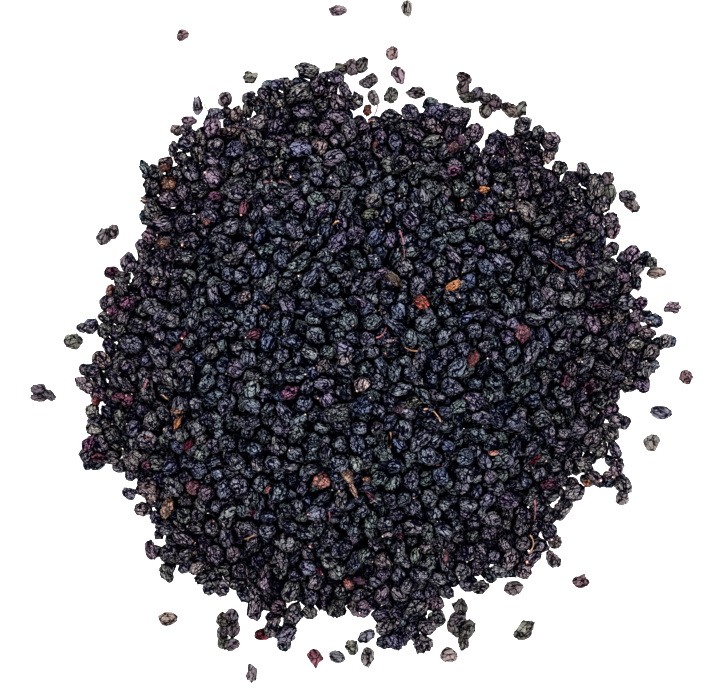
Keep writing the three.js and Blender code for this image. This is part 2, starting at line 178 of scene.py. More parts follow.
# Berries and flakes of husk of another tint that lie among the dark ones: tint, place.
TINTS = [
    ("husk", [8.7, 22.7, 7.3, 2.8, -42]),
    ("lilac", [4.8, 23.8, 4.5, 2.0, 30]),
    ("pink", [-20.2, -9, 4.5, 3.9, 20]),
    ("buff", [0, -6.7, 5.3, 3.6, 40]),
    ("purple", [10.6, -13.7, 2.5, 2.5, 0]),
    ("drab", [-4.8, 0.3, 4.2, 3.6, 60]),
    ("olive", [14, -12, 4.8, 3.1, 30]),
    ("lilac", [-0.8, 16, 4.5, 2.5, -30]),
    ("drab", [8.1, 4.8, 4.8, 2.8, 10]),
    ("drab", [19.3, 66.4, 4.5, 3.1, 0]),
    ("tan", [-2.4, -36.2, 5.2, 1.5, -62]),
    ("orange", [-51.5, -17.4, 3.9, 1.7, 70]),
    ("brown", [-55.7, 32.8, 3.4, 2.8, 0]),
    ("rose", [52.4, -34.7, 3.9, 3.4, 0]),
    ("rose", [63.3, -7.8, 3.6, 2.8, 70]),
    ("buff", [60.5, 0, 2.0, 1.7, 0]),
    ("orange", [63, -34.4, 2.5, 2.2, 0]),
    ("rose", [-70, 24.4, 3.9, 3.4, 0]),
    ("rose", [-65.5, -11.2, 3.9, 3.4, 30]),
    ("lilac", [-11.2, 41.4, 4.2, 3.1, 60]),
    ("coral", [-70.3, 19.6, 3.4, 2.8, 60]),
    ("pink", [-65.5, 16, 4.2, 3.4, 0]),
    ("pink", [-69.7, 13.7, 3.4, 3.4, 0]),
    ("crimson", [-74.5, -11.5, 2.8, 2.8, 0]),
    ("rose", [-68.3, -9.8, 3.6, 2.8, 0]),
    ("pink", [-76.4, -23.2, 4.5, 3.4, 60]),
    ("rose", [-73.9, -27.2, 3.4, 2.8, 0]),
    ("buff", [-32.8, 17.4, 3.4, 3.4, 0]),
    ("rose", [-29.7, 7.3, 4.2, 3.1, 20]),
    ("rose", [-49.3, 7, 2.8, 2.2, 60]),
    ("coral", [-43.4, 38.6, 2.2, 2.0, 0]),
    ("rose", [-60.2, -29.4, 2.8, 2.5, 0]),
    ("crimson", [30.8, 0.6, 3.9, 2.8, 75]),
    ("pink", [-41.2, 45.6, 3.6, 3.1, 0]),
    ("rose", [-33, 42.6, 3.9, 2.5, 80]),
    ("buff", [-58, 22, 2.8, 2.5, 40]),
    ("crimson", [-51, 3.5, 2.8, 2, 60]),
    ("brown", [-51.7, -14.2, 3, 1.7, -10]),
    ("coral", [-59.6, -22, 1.8, 1.4, -30]),
    ("ruby", [-48.5, -23.7, 3.6, 1.8, 55]),
    ("coral", [-26.7, 14.7, 2.5, 1.1, -15]),
    ("russet", [1.6, 69.7, 3.2, 2.2, 80]),
    ("pink", [25.7, 52.8, 3.7, 2.8, 0]),
    ("orange", [33.9, 47.6, 2.4, 2.2, 0]),
    ("maroon", [25.5, 59.7, 3.2, 2.8, 70]),
    ("purple", [27.6, 61.6, 3, 2.4, -50]),
    ("rose", [31.3, 39.8, 2.6, 2.2, 0]),
    ("rose", [35.2, 40, 3.6, 2, 10]),
    ("coral", [3.8, 60.4, 2.2, 1.4, 60]),
    ("olive", [2.2, 40.2, 4.2, 3.6, 0]),
    ("rose", [38.9, 57.7, 2.2, 1.4, -50]),
    ("brown", [1.4, -33.2, 2.4, 2, 0]),
    ("rose", [2.3, -37.7, 3.4, 1.4, -45]),
    ("drab", [7.8, -48.6, 3.2, 1.8, 15]),
    ("rose", [10.4, -49, 2.2, 1.4, -30]),
    ("maroon", [23.5, -55.5, 4, 1.8, 85]),
    ("crimson", [-3.9, -62.3, 3.4, 2.4, -50]),
    ("purple", [-0.9, -61.4, 3.4, 2.6, 0]),
    ("ruby", [-11.9, -58.7, 2, 1.1, -50]),
    ("coral", [-26.3, -36, 2.2, 1.2, 50]),
    ("rose", [-30.5, -42.6, 2.2, 1.8, 0]),
    ("drab", [-29.7, -65.4, 3.8, 3.4, 70]),
    ("coral", [36.6, -25.8, 3, 1.5, 0]),
    ("buff", [69, -32.3, 3.2, 2.8, 0]),
    ("drab", [73.5, -17.5, 4, 3, 80]),
    ("ruby", [48.4, -27.8, 3.6, 1.4, 35]),
    ("rose", [56.8, -6, 3.4, 2.6, 80]),
    ("rose", [66.7, 15.4, 4.8, 1.8, 5]),
    ("coral", [61, 24.2, 2.4, 1.6, 60]),
    ("russet", [-55.2, 53.7, 2.8, 2.6, 0]),
    ("rose", [51.7, 52.5, 2.4, 2.4, 30]),
]

# Bits of stalk on top of the heap: tint, three points along each.
STALKS = [
    ("red", [(-27.2, 49.6), (-24.6, 49.8), (-22.1, 49.6)]),
    ("pink", [(4.2, 73.6), (3.9, 69.4), (0.8, 65.6)]),
    ("pink", [(10.4, 36.1), (11.5, 32.5), (11.8, 28.3)]),
    ("tan", [(-8.1, 37.5), (-7.3, 38.4), (-6.4, 38.6)]),
    ("pink", [(3.9, 6.2), (5.6, 7), (6.7, 9)]),
    ("tan", [(17.1, -13.7), (19.6, -14), (21.8, -17.1)]),
    ("tan", [(7.8, -19.9), (8.1, -22.1), (7.8, -24.4)]),
    ("tan", [(12, 3.6), (13.4, 2.8), (15.4, 2.5)]),
    ("pink", [(-61.6, -8.4), (-60.5, -7), (-59.9, -5.3)]),
    ("tan", [(-56, -9.5), (-55.2, -10.1), (-54.3, -10.9)]),
    ("pink", [(-9.2, -42.3), (-9, -43.7), (-9.2, -45.1)]),
    ("tan", [(47, -49), (47.9, -51.5), (46.5, -54)]),
    ("pink", [(48.2, -39.2), (48.4, -42), (48.2, -44.5)]),
    ("tan", [(-44.2, 71.7), (-43.7, 70.6), (-42.8, 69.4)]),
    ("tan", [(-61.9, 45.6), (-61.3, 44.8), (-60.5, 44.5)]),
    ("tan", [(55.3, 33.5), (57, 33.6), (59.2, 35.2)]),
    ("tan", [(-32.8, -50), (-31.8, -49.7), (-30.1, -48.8)]),
    ("pink", [(52.5, 28), (54.2, 26.6), (56.5, 25.2)]),
]

# Colours of the pale ridges of dark berries, a waxy bloom with painted highlight, and the share that each
# has on average.
BLOOM_HIGHLIGHT_COLOURS = {
    "slate": (0.55, 0.56, 0.59),
    "blue": (0.43, 0.49, 0.66),
    "green": (0.52, 0.62, 0.51),
    "plum": (0.60, 0.49, 0.61),
    "umber": (0.66, 0.58, 0.51),
}
BLOOM_SHARES = [0.32, 0.17, 0.3, 0.13, 0.08]

# Colours of the berries and flakes that aren't dark between their ridges.
TINT_COLOURS = {
    "red": (0.56, 0.07, 0.035),
    "coral": (0.58, 0.25, 0.19),
    "russet": (0.38, 0.09, 0.045),
    "maroon": (0.34, 0.11, 0.17),
    "crimson": (0.30, 0.015, 0.045),
    "purple": (0.16, 0.03, 0.15),
    "orange": (0.80, 0.35, 0.10),
    "brown": (0.52, 0.30, 0.17),
    "tan": (0.60, 0.42, 0.25),
    "husk": (0.26, 0.20, 0.13),
}

# Colours of the pale ridges, bloom with painted highlight, of dark berries that stand out by their tint.
RIDGE_COLOURS = {
    "ruby": (0.46, 0.09, 0.14),
    "dusty": (0.52, 0.35, 0.38),
    "rose": (0.54, 0.24, 0.30),
    "pink": (0.66, 0.33, 0.44),
    "lilac": (0.70, 0.55, 0.64),
    "buff": (0.92, 0.74, 0.64),
    "drab": (0.66, 0.56, 0.53),
    "olive": (0.62, 0.62, 0.42),
}


# ---- wrinkled berry shapes


def unit(v):
    """Vectors scaled to length 1."""
    return v / np.linalg.norm(v, axis=-1, keepdims=True)


def cell_seeds(count, spread, pull):
    """Points spread over the unit sphere, pulled towards the two ends on the X axis."""
    k = np.arange(count) + 0.5
    x = 1 - 2 * k / count
    turn = k * math.pi * (3 - math.sqrt(5))
    ring = np.sqrt(1 - x * x)
    points = np.stack([x, ring * np.cos(turn), ring * np.sin(turn)], 1)
    points = unit(points + rng.normal(0, spread, points.shape))
    return unit(points * [pull, 1, 1])


def cell_net(seeds):
    """The cells round the seeds: the corners where three meet, and each cell's loop of them."""
    three = np.array(list(itertools.combinations(range(len(seeds)), 3)))
    a, b, c = seeds[three[:, 0]], seeds[three[:, 1]], seeds[three[:, 2]]
    corner = unit(np.cross(b - a, c - a))
    corner *= np.sign((corner * a).sum(1))[:, None]
    empty = (corner @ seeds.T - (corner * a).sum(1)[:, None] < 1e-9).all(1)
    corner, three = corner[empty], three[empty]
    loops = []
    for s, seed in enumerate(seeds):
        mine = np.nonzero((three == s).any(1))[0]
        across = unit(np.cross(seed, [0.3, 0.5, 0.8]))
        up = np.cross(seed, across)
        angle = np.arctan2(corner[mine] @ up, corner[mine] @ across)
        loops.append(mine[np.argsort(angle)])
    return corner, loops


def wrinkled_berry(cells, folds, depth, fine, spread, pull, point):
    """A dried berry of about unit radius: broad folds, under a fine net of raised ridges.

    Returns its points, its triangles and how much each point belongs to a ridge.
    """
    seeds = cell_seeds(cells, spread, pull)
    corner, loops = cell_net(seeds)
    fold_seeds = cell_seeds(folds, 0.25, pull)
    fold_depth = rng.uniform(0.4, 1.3, folds)
    waves = rng.normal(0, 1.5, (3, 3))
    phases = rng.uniform(0, 6.3, 3)

    points = list(corner)
    radius = list(rng.normal(0, 0.018, len(corner)))
    ridge = list(rng.uniform(0.0, 1.15, len(corner)))
    triangles = []
    for loop in loops:
        rim = [int(i) for i in loop]
        middle = unit(corner[loop].mean(0) + rng.normal(0, 0.02, 3))
        centre = len(points)
        points.append(middle)
        radius.append(-fine * rng.uniform(0.4, 1.4))
        ridge.append(0.0)
        triangles += [(centre, i, j) for i, j in zip(rim, rim[1:] + rim[:1])]
    points = np.array(points)
    near = np.sort(np.arccos(np.clip(points @ fold_seeds.T, -1, 1)), 1)
    owner = np.argmax(points @ fold_seeds.T, 1)
    inside = np.clip((near[:, 1] - near[:, 0]) / 0.5, 0, 1)
    inside = inside * inside * (3 - 2 * inside) * fold_depth[owner]
    swell = 0.04 * np.sin(points @ waves.T + phases).sum(-1)
    tip = point * np.clip(-points[:, 0], 0, 1) ** 4
    shape = points * (1 + swell + tip - depth * inside + np.array(radius))[:, None]
    tri = np.array(triangles)
    a, b, c = shape[tri[:, 0]], shape[tri[:, 1]], shape[tri[:, 2]]
    inward = (np.cross(b - a, c - a) * (a + b + c)).sum(1) < 0
    tri[inward] = tri[inward][:, ::-1]
    volume = (np.cross(a, b) * c).sum(1)
    size = (abs(volume).sum() / 6 / (4 / 3 * math.pi)) ** (1 / 3)
    # ridges inside the folds are weaker, in relief and so also in paleness: painted shade in the folds'
    # dents
    return shape / size, tri, np.array(ridge) * (1 - 0.35 * np.clip(inside, 0, 1))


def many_shapes(count, cells, fine, pulls=(1.0, 1.4, 1.9, 2.6), points=(0.0, 0.0, 0.1, 0.25)):
    """Berries with as many cells and as deep a net as the two ranges say."""
    return [
        wrinkled_berry(
            cells=int(rng.integers(*cells)),
            folds=int(rng.integers(5, 12)),
            depth=rng.uniform(0.1, 0.34),
            fine=rng.uniform(*fine),
            spread=rng.uniform(0.12, 0.2),
            pull=rng.choice(pulls),
            point=rng.choice(points),
        )
        for _ in range(count)
    ]


FINE = many_shapes(36, (44, 62), (0.05, 0.12))
MEDIUM = many_shapes(24, (24, 34), (0.05, 0.12))
FINEST = many_shapes(24, (56, 80), (0.05, 0.12))
ROUND = many_shapes(12, (56, 80), (0.04, 0.09), (1.0,), (0.0,))
PLAIN = many_shapes(16, (12, 16), (0.02, 0.06))
ROUGH = many_shapes(6, (6, 7), (0.0, 0.01))


# ---- the heap's space


def with_neighbours(cells, blend):
    """A grid in which each cell is blended with the eight round it."""
    shifts = itertools.product((-1, 0, 1), repeat=2)
    return blend([np.roll(cells, shift, (0, 1)) for shift in shifts], 0)


def heap_space():
    """On a 1 mm grid: where the heap's solid lies or nearly, and its height without bumps."""
    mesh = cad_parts["berry_heap"].data
    verts = [v.co / MM for v in mesh.vertices]
    faces = [tuple(p.vertices) for p in mesh.polygons]
    tree = BVHTree.FromPolygons(verts, faces)
    span = np.arange(-REACH, REACH + 1)
    top = np.zeros((len(span), len(span)))
    for j, y in enumerate(span):
        for i, x in enumerate(span):
            hit = tree.ray_cast(Vector((x, y, SKY)), Vector((0, 0, -1)))[0]
            top[j, i] = hit.z if hit else 0
    inside = top > 0.2
    roof = np.where(inside, np.maximum(top, FOOT), FOOT)
    inside = with_neighbours(inside, np.any)
    for _ in range(2):
        roof = with_neighbours(roof, np.max)
    for _ in range(8):
        roof = with_neighbours(roof, np.mean)
    return inside, roof


def turned(yaw, pitch, roll):
    """Rotation that lays a berry's long axis at yaw and pitch, rolled about itself."""
    cy, sy, cp, sp, cr, sr = (f(v) for v in (yaw, pitch, roll) for f in (math.cos, math.sin))
    about_z = np.array([[cy, -sy, 0], [sy, cy, 0], [0, 0, 1]])
    about_y = np.array([[cp, 0, sp], [0, 1, 0], [-sp, 0, cp]])
    about_x = np.array([[1, 0, 0], [0, cr, -sr], [0, sr, cr]])
    return about_z @ about_y @ about_x


class Berry:
    """One berry: where it lies, its half axes, how it is turned, and its skin."""

    def __init__(self, centre, half, turn, skin):
        self.centre = np.array(centre, float)
        self.half = np.array(half, float)
        self.turn = turn
        self.skin = skin
        self.seen = 0  # cells that it shows to the far eye that sees most of it
        self.seen_above = 0  # and to the one straight above

    @property
    def radius(self):
        """Of the ball that has its volume."""
        return float(np.prod(self.half)) ** (1 / 3)


def draw_skin(evenness=2.2):
    """A berry's own ridge colour, blended from the bloom and highlight colours."""
    colours = np.array(list(BLOOM_HIGHLIGHT_COLOURS.values()))
    blend = rng.dirichlet(np.array(BLOOM_SHARES) * evenness)
    return blend @ colours


def lying(place, skin=None, z=None):
    """A berry given by its place in a list, lying on the floor unless z says otherwise."""
    x, y, length, width, yaw = place
    height = 0.92 * width
    half = [length / 2, width / 2, height / 2]
    middle = [x, y, height / 2 if z is None else z]
    return Berry(middle, half, turned(math.radians(yaw), 0, 0), draw_skin() if skin is None else skin)


class Pile:
    """Berries that rest on one another, with the height at which the next one would rest."""

    def __init__(self):
        self.berries = []
        self.span = np.arange(-REACH, REACH + GRID, GRID)
        self.rest = np.full((len(self.span),) * 2, MEAN_RADIUS)

    def index(self, v):
        """Number of the grid line nearest to a coordinate."""
        return int(round((v + REACH) / GRID))

    def add(self, berry):
        """Lays a berry down, and lifts the heights at which others would rest on it."""
        reach = berry.radius + MEAN_RADIUS
        x, y, z = berry.centre
        j0, j1 = self.index(y - reach), self.index(y + reach) + 1
        i0, i1 = self.index(x - reach), self.index(x + reach) + 1
        across = self.span[i0:i1][None, :] - x
        along = self.span[j0:j1][:, None] - y
        gap = reach * reach - across**2 - along**2
        cap = np.where(gap > 0, z + np.sqrt(np.maximum(gap, 0)), -1)
        window = self.rest[j0:j1, i0:i1]
        np.maximum(window, cap, out=window)
        self.berries.append(berry)

    def settle(self, j, i, allowed):
        """Rolls down from a grid point to where nothing next to it is lower."""
        while True:
            around = np.s_[j - 1 : j + 2, i - 1 : i + 2]
            window = np.where(allowed[around], self.rest[around], FAR)
            k = int(np.argmin(window))
            if window.flat[k] >= self.rest[j, i] - 1e-6:
                return j, i
            j, i = j + k // 3 - 1, i + k % 3 - 1

    def slide(self, j, i, allowed):
        """Pushes a berry on the floor towards the heap's middle, until it meets others."""
        while True:
            inward = math.atan2(-self.span[j], -self.span[i])
            for bend in (0, 0.8, -0.8):
                jj = j + round(math.sin(inward + bend))
                ii = i + round(math.cos(inward + bend))
                nearer = math.hypot(self.span[jj], self.span[ii]) < math.hypot(self.span[j], self.span[i])
                if nearer and allowed[jj, ii] and self.rest[jj, ii] <= MEAN_RADIUS + 0.15:
                    j, i = jj, ii
                    break
            else:
                return j, i


def random_berry(x, y, rest):
    """A berry of random size, shape and turn, near a grid point where one of mean size rests."""
    x = x + rng.uniform(-GRID / 2, GRID / 2)
    y = y + rng.uniform(-GRID / 2, GRID / 2)
    radius = float(np.clip(rng.normal(MEAN_RADIUS, RADIUS_SPREAD), *RADIUS_RANGE))
    long = math.exp(abs(rng.normal(0, 0.16)))
    flat = math.exp(rng.normal(0, 0.05))
    half = radius * np.array([long, flat / math.sqrt(long), 1 / flat / math.sqrt(long)])
    turn = turned(rng.uniform(0, FULL_TURN), rng.normal(0, 0.45), rng.uniform(0, FULL_TURN))
    z = rest + radius - MEAN_RADIUS
    # painted light: berries turn warmer and less blue towards the heap's rim, a tint that the light gives
    # there
    rim_light_tint = 0.22 * np.clip((math.hypot(x, y) - 42) / 30, 0, 1)
    return Berry([x, y, z], half, turn, draw_skin() * [1 + rim_light_tint, 1, 1 - 0.3 * rim_light_tint])


def fill_heap():
    """Lays the rim's berries and drops others into the heap's space until none has room."""
    inside, roof = heap_space()
    pile = Pile()
    # The loose berries only keep their places free: they aren't the heap's own.
    for place in itertools.chain(*LOOSE):
        pile.add(lying(place))
    pile.berries = []
    for place in RIM:
        pile.add(lying(place))
    nearest = np.clip(np.round(pile.span + REACH).astype(int), 0, 2 * REACH)
    allowed = inside[np.ix_(nearest, nearest)]
    for _ in range(3):
        allowed = with_neighbours(allowed, np.all)
    room = roof[np.ix_(nearest, nearest)] - MEAN_RADIUS + HEADROOM
    open_cells = allowed.copy()
    while True:
        free = np.argwhere(open_cells & (pile.rest <= room))
        if len(free) == 0:
            break
        for j, i in free[rng.choice(len(free), min(len(free), TRIES), replace=False)]:
            if pile.rest[j, i] > room[j, i]:
                continue
            start = (j, i)
            j, i = pile.settle(j, i, allowed)
            if pile.rest[j, i] <= MEAN_RADIUS:
                j, i = pile.slide(j, i, allowed)
            if pile.rest[j, i] > room[j, i]:
                open_cells[start] = False
                continue
            pile.add(random_berry(pile.span[i], pile.span[j], pile.rest[j, i]))
    return pile, allowed


def plug_holes(pile, allowed):
    """Adds small berries where the floor would show through the heap, short of its rim."""
    bare = allowed.copy()
    for _ in range(6):
        bare = with_neighbours(bare, np.all)
    across, along = np.meshgrid(pile.span, pile.span)
    low = 12  # berries above this height lie on others, which hide the floor
    steps = 6  # of the grid, further than any berry hides it
    for b in pile.berries:
        if b.centre[2] < low:
            j, i = pile.index(b.centre[1]), pile.index(b.centre[0])
            near = np.s_[j - steps : j + steps + 1, i - steps : i + steps + 1]
            off = np.hypot(across[near] - b.centre[0], along[near] - b.centre[1])
            bare[near] &= off > COVER * b.radius
    while bare.any():
        cells = np.argwhere(bare)
        j, i = cells[rng.integers(len(cells))]
        radius = rng.uniform(1.5, 1.9)
        half = radius * np.array([1.1, 0.98, 0.93])
        turn = turned(rng.uniform(0, FULL_TURN), rng.normal(0, 0.3), rng.uniform(0, FULL_TURN))
        pile.add(Berry([pile.span[i], pile.span[j], radius], half, turn, draw_skin()))
        bare[np.hypot(across - pile.span[i], along - pile.span[j]) < COVER * radius] = False


def make_room(berries, guest):
    """The berries without those that a guest pushes aside."""
    apart = [np.linalg.norm(b.centre - guest.centre) / (b.radius + guest.radius) for b in berries]
    return [b for b, share in zip(berries, apart) if share > SQUEEZE]


def top_height(berries, x, y, reach):
    """Height of the highest berry surface within a reach of (x, y)."""
    best = 0.0
    for b in berries:
        off = max(0.0, math.hypot(b.centre[0] - x, b.centre[1] - y) - reach)
        if off < b.radius:
            best = max(best, b.centre[2] + math.sqrt(b.radius**2 - off * off))
    return best


def look_from(berries, direction, from_above=False):
    """Counts, for each berry, the cells that it shows to a far eye in a direction."""
    toward = unit(np.array(direction, float))
    across = unit(np.cross([0.12, 0.97, 0.2], toward))
    up = np.cross(toward, across)
    centres = np.array([b.centre for b in berries])
    u, v, w = centres @ across, centres @ up, centres @ toward
    size = int(2 * HALF_VIEW / EYE_CELL)
    depth = np.full((size, size), -FAR)
    owner = np.full((size, size), -1)
    grid = (np.arange(size) + 0.5) * EYE_CELL - HALF_VIEW
    for n, berry in enumerate(berries):
        r = berry.radius
        i0, i1 = (int((edge + HALF_VIEW) / EYE_CELL) for edge in (u[n] - r, u[n] + r))
        j0, j1 = (int((edge + HALF_VIEW) / EYE_CELL) for edge in (v[n] - r, v[n] + r))
        i1, j1 = i1 + 1, j1 + 1
        gap = r * r - (grid[i0:i1][None, :] - u[n]) ** 2 - (grid[j0:j1][:, None] - v[n]) ** 2
        front = np.where(gap > 0, w[n] + np.sqrt(np.maximum(gap, 0)), -FAR)
        nearer = front > depth[j0:j1, i0:i1]
        depth[j0:j1, i0:i1][nearer] = front[nearer]
        owner[j0:j1, i0:i1][nearer] = n
    shown, count = np.unique(owner[owner >= 0], return_counts=True)
    for n, c in zip(shown, count):
        berries[n].seen = max(berries[n].seen, int(c))
        if from_above:
            berries[n].seen_above = int(c)


def look_round(berries):
    """Looks from above, from below and from eight sides at each of two heights."""
    look_from(berries, (0, 0, 1), from_above=True)
    look_from(berries, (0, 0, -1))
    for lift in (0.35, 0.9):
        for k in range(8):
            angle = 2 * math.pi * (k + lift) / 8
            look_from(berries, (math.cos(angle), math.sin(angle), lift))


def coloured_guests(berries):
    """The coloured berries at their nodes' heights, and the others that they leave in place."""
    coloured = []
    for node, colour, place in COLOURED:
        low, high = (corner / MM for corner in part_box(node))
        guest = lying(place, np.array(TINT_COLOURS[colour]), 0.5 * (low.z + high.z))
        berries = make_room(berries, guest)
        coloured.append(guest)
    return coloured, berries


def tinted_guests(berries):
    """The tinted berries bedded in the surface, and the others that they leave in place.

    Those in a colour of their own come first, then those with tinted ridges only.
    """
    tinted, ridged = [], []
    for tint, place in TINTS:
        own = tint in TINT_COLOURS
        guest = lying(place, np.array(TINT_COLOURS[tint] if own else RIDGE_COLOURS[tint]), 0)
        if top_height(berries, place[0], place[1], 0.5) > 0:
            guest.centre[2] = top_height(berries, place[0], place[1], 2.5) - 0.6 * guest.half[2]
        else:
            guest.centre[2] = guest.half[2]
        berries = make_room(berries, guest)
        (tinted if own else ridged).append(guest)
    return tinted, ridged, berries


# ---- meshes


def light_openness(points, berry, crowd):
    """How free each point of a skin is of the berries next to it: 0 where they touch, where it paints
    shade.
    """
    free = np.ones(len(points))
    outward = unit(points - berry.centre)
    probe = points + 0.9 * outward
    for other in crowd:
        if other is berry:
            continue
        apart = np.linalg.norm(probe - other.centre, axis=1) / other.radius
        free = np.minimum(free, np.clip((apart - 0.97) / 0.32, 0.0, 1.0))
    return free * free * (3 - 2 * free)


def crowds(berries):
    """For each berry, the others close enough to touch it."""
    cells = {}
    for b in berries:
        cells.setdefault(tuple((b.centre // TOUCHING).astype(int)), []).append(b)
    near = []
    for b in berries:
        i, j, k = (b.centre // TOUCHING).astype(int)
        steps = itertools.product((-1, 0, 1), repeat=3)
        close = [o for d in steps for o in cells.get((i + d[0], j + d[1], k + d[2]), ())]
        near.append([o for o in close if np.abs(o.centre - b.centre).max() < TOUCHING])
    return near


def finished_piece(name, mesh, material):
    """The object that shows a mesh in a material."""
    mesh.validate()
    mesh.materials.append(material)
    piece = bpy.data.objects.new(name, mesh)
    bpy.context.scene.collection.objects.link(piece)
    return piece


class Skins:
    """Gathers berries into one mesh, with a ridge value and a skin colour at each point, whose alpha
    holds the bloom and painted shade.
    """

    def __init__(self):
        self.points, self.triangles, self.ridges, self.colours, self.places = [], [], [], [], []
        self.point_count = 0
        self.triangle_count = 0

    def add(self, berry, shapes, crowd, bloom_range=(0.66, 1.25)):
        """Gives a berry one of the shapes, with bloom painted darker as shade where its crowd touches it
        and where it hardly shows.

        Returns the points of its skin.
        """
        shape, tri, ridge = shapes[int(rng.integers(len(shapes)))]
        spin = turned(*rng.uniform(0, FULL_TURN, 3)) if rng.random() < 0.3 else np.eye(3)
        flip = rng.choice([-1, 1], 2)
        local = shape * [flip[0], flip[1], flip[0] * flip[1]]
        points = (local @ spin.T * berry.half) @ berry.turn.T + berry.centre
        points[:, 2] -= max(0.0, float(points[:, 2].max()) - CEILING)
        points[:, 2] += max(0.0, -float(points[:, 2].min()))
        self.points.append(points)
        self.triangles.append(tri + self.point_count)
        self.ridges.append(ridge)
        # painted shade: skin next to other berries loses its pale bloom, and a berry that hardly shows
        # keeps a twentieth of it
        whole = math.pi * berry.radius**2 / EYE_CELL**2
        shown_share = min(1.0, berry.seen / whole) if berry.seen else 1.0
        bloom_and_shade = light_openness(points, berry, crowd) * rng.uniform(*bloom_range) * (0.05 + 0.95 * shown_share)
        self.colours.append(np.c_[np.tile(berry.skin, (len(shape), 1)), bloom_and_shade[:, None]])
        self.places.append(shape * berry.radius * [0.5, 1, 1] + rng.uniform(0, 500, 3))
        self.point_count += len(shape)
        self.triangle_count += len(tri)
        return points

    def make(self, name, material):
        """One piece of all the berries added."""
        points = np.concatenate(self.points) * MM
        triangles = np.concatenate(self.triangles)
        mesh = bpy.data.meshes.new(name)
        mesh.vertices.add(len(points))
        mesh.vertices.foreach_set("co", points.ravel())
        mesh.loops.add(3 * len(triangles))
        mesh.loops.foreach_set("vertex_index", triangles.ravel())
        mesh.polygons.add(len(triangles))
        mesh.polygons.foreach_set("loop_start", np.arange(0, 3 * len(triangles), 3))
        mesh.polygons.foreach_set("use_smooth", np.ones(len(triangles), bool))
        ridge = mesh.attributes.new("ridge", "FLOAT", "POINT")
        ridge.data.foreach_set("value", np.concatenate(self.ridges))
        skin = mesh.attributes.new("skin", "FLOAT_COLOR", "POINT")
        skin.data.foreach_set("color", np.concatenate(self.colours).ravel())
        place = mesh.attributes.new("place", "FLOAT_VECTOR", "POINT")
        place.data.foreach_set("vector", np.concatenate(self.places).ravel())
        mesh.update(calc_edges=True)
        return finished_piece(name, mesh, material)


class Bits:
    """Gathers small plain solids, such as calyxes and stalks, into one mesh."""

    def __init__(self):
        self.points, self.faces = [], []

    def add_crown(self, at, out, size):
        """A low five-pointed crown that faces out."""
        across = unit(np.cross(out, [0.3, 0.5, 0.8]))
        up = np.cross(out, across)
        first = sum(len(p) for p in self.points)
        corners = 2 * CROWN_TIPS
        ring = []
        for k in range(corners):
            angle = math.pi * k / CROWN_TIPS
            reach = size * (1.0 if k % 2 else 0.55) * rng.uniform(0.85, 1.15)
            ring.append(at + reach * (math.cos(angle) * across + math.sin(angle) * up) + 0.12 * out)
        crown = np.array(ring + [at + 0.05 * out, at - 0.2 * out])
        crown[:, 2] = np.maximum(crown[:, 2], 0.02)
        self.points.append(crown)
        for k in range(corners):
            a, b = first + k, first + (k + 1) % corners
            self.faces += [(a, b, first + corners), (b, a, first + corners + 1)]

    def add_stalk(self, berries, path):
        """A thin curved stalk that lies over the berries under it."""
        steps = np.linspace(0, 1, STALK_STEPS)[:, None]
        a, b, c = (np.array(point, float) for point in path)
        middle = 2 * b - 0.5 * (a + c)
        flat = (1 - steps) ** 2 * a + 2 * steps * (1 - steps) * middle + steps**2 * c
        lift = [top_height(berries, x, y, 0.3) for x, y in flat]
        lift = np.convolve(np.pad(lift, 2, "edge"), np.ones(5) / 5, "valid")
        line = np.c_[flat, lift + 0.3]
        first = sum(len(p) for p in self.points)
        along = unit(np.gradient(line, axis=0))
        side = unit(np.cross(along, [0, 0, 1]))
        up = np.cross(side, along)
        thick = 0.2 * (1 + 0.25 * np.sin(np.arange(STALK_STEPS) * 2.1))
        thick[[0, -1]] *= 1.3
        rings = []
        for k in range(STALK_SIDES):
            angle = 2 * math.pi * k / STALK_SIDES
            rings.append(line + thick[:, None] * (math.cos(angle) * side + math.sin(angle) * up))
        rings = np.array(rings).transpose(1, 0, 2).reshape(-1, 3)
        self.points.append(np.concatenate([rings, line[[0, -1]]]))
        last = first + STALK_SIDES * (STALK_STEPS - 1)
        foot = last + STALK_SIDES
        for low in range(first, last, STALK_SIDES):
            high = low + STALK_SIDES
            for k in range(STALK_SIDES):
                m = (k + 1) % STALK_SIDES
                self.faces.append((low + k, high + k, high + m, low + m))
        for k in range(STALK_SIDES):
            m = (k + 1) % STALK_SIDES
            self.faces.append((first + k, first + m, foot))
            self.faces.append((last + m, last + k, foot + 1))

    def make(self, name, material):
        """One piece of all the bits added."""
        mesh = bpy.data.meshes.new(name)
        mesh.from_pydata((np.concatenate(self.points) * MM).tolist(), [], self.faces)
        return finished_piece(name, mesh, material)


def add_calyx(berry, skin, calyxes, rims):
    """The withered calyx at a berry's end, on a reddish rim on some."""
    out = berry.turn @ np.array([1.0, 0, 0])
    out = unit(out * rng.choice([-1, 1]) + [0, 0, rng.uniform(0.1, 1.2)])
    at = skin[np.argmax((skin - berry.centre) @ out)]
    size = rng.uniform(0.18, 0.34)
    calyxes.add_crown(at, out, size)
    if rng.random() < RIM_SHARE:
        rims.add_crown(at - 0.06 * out, out, rng.uniform(1.5, 2.4) * size)


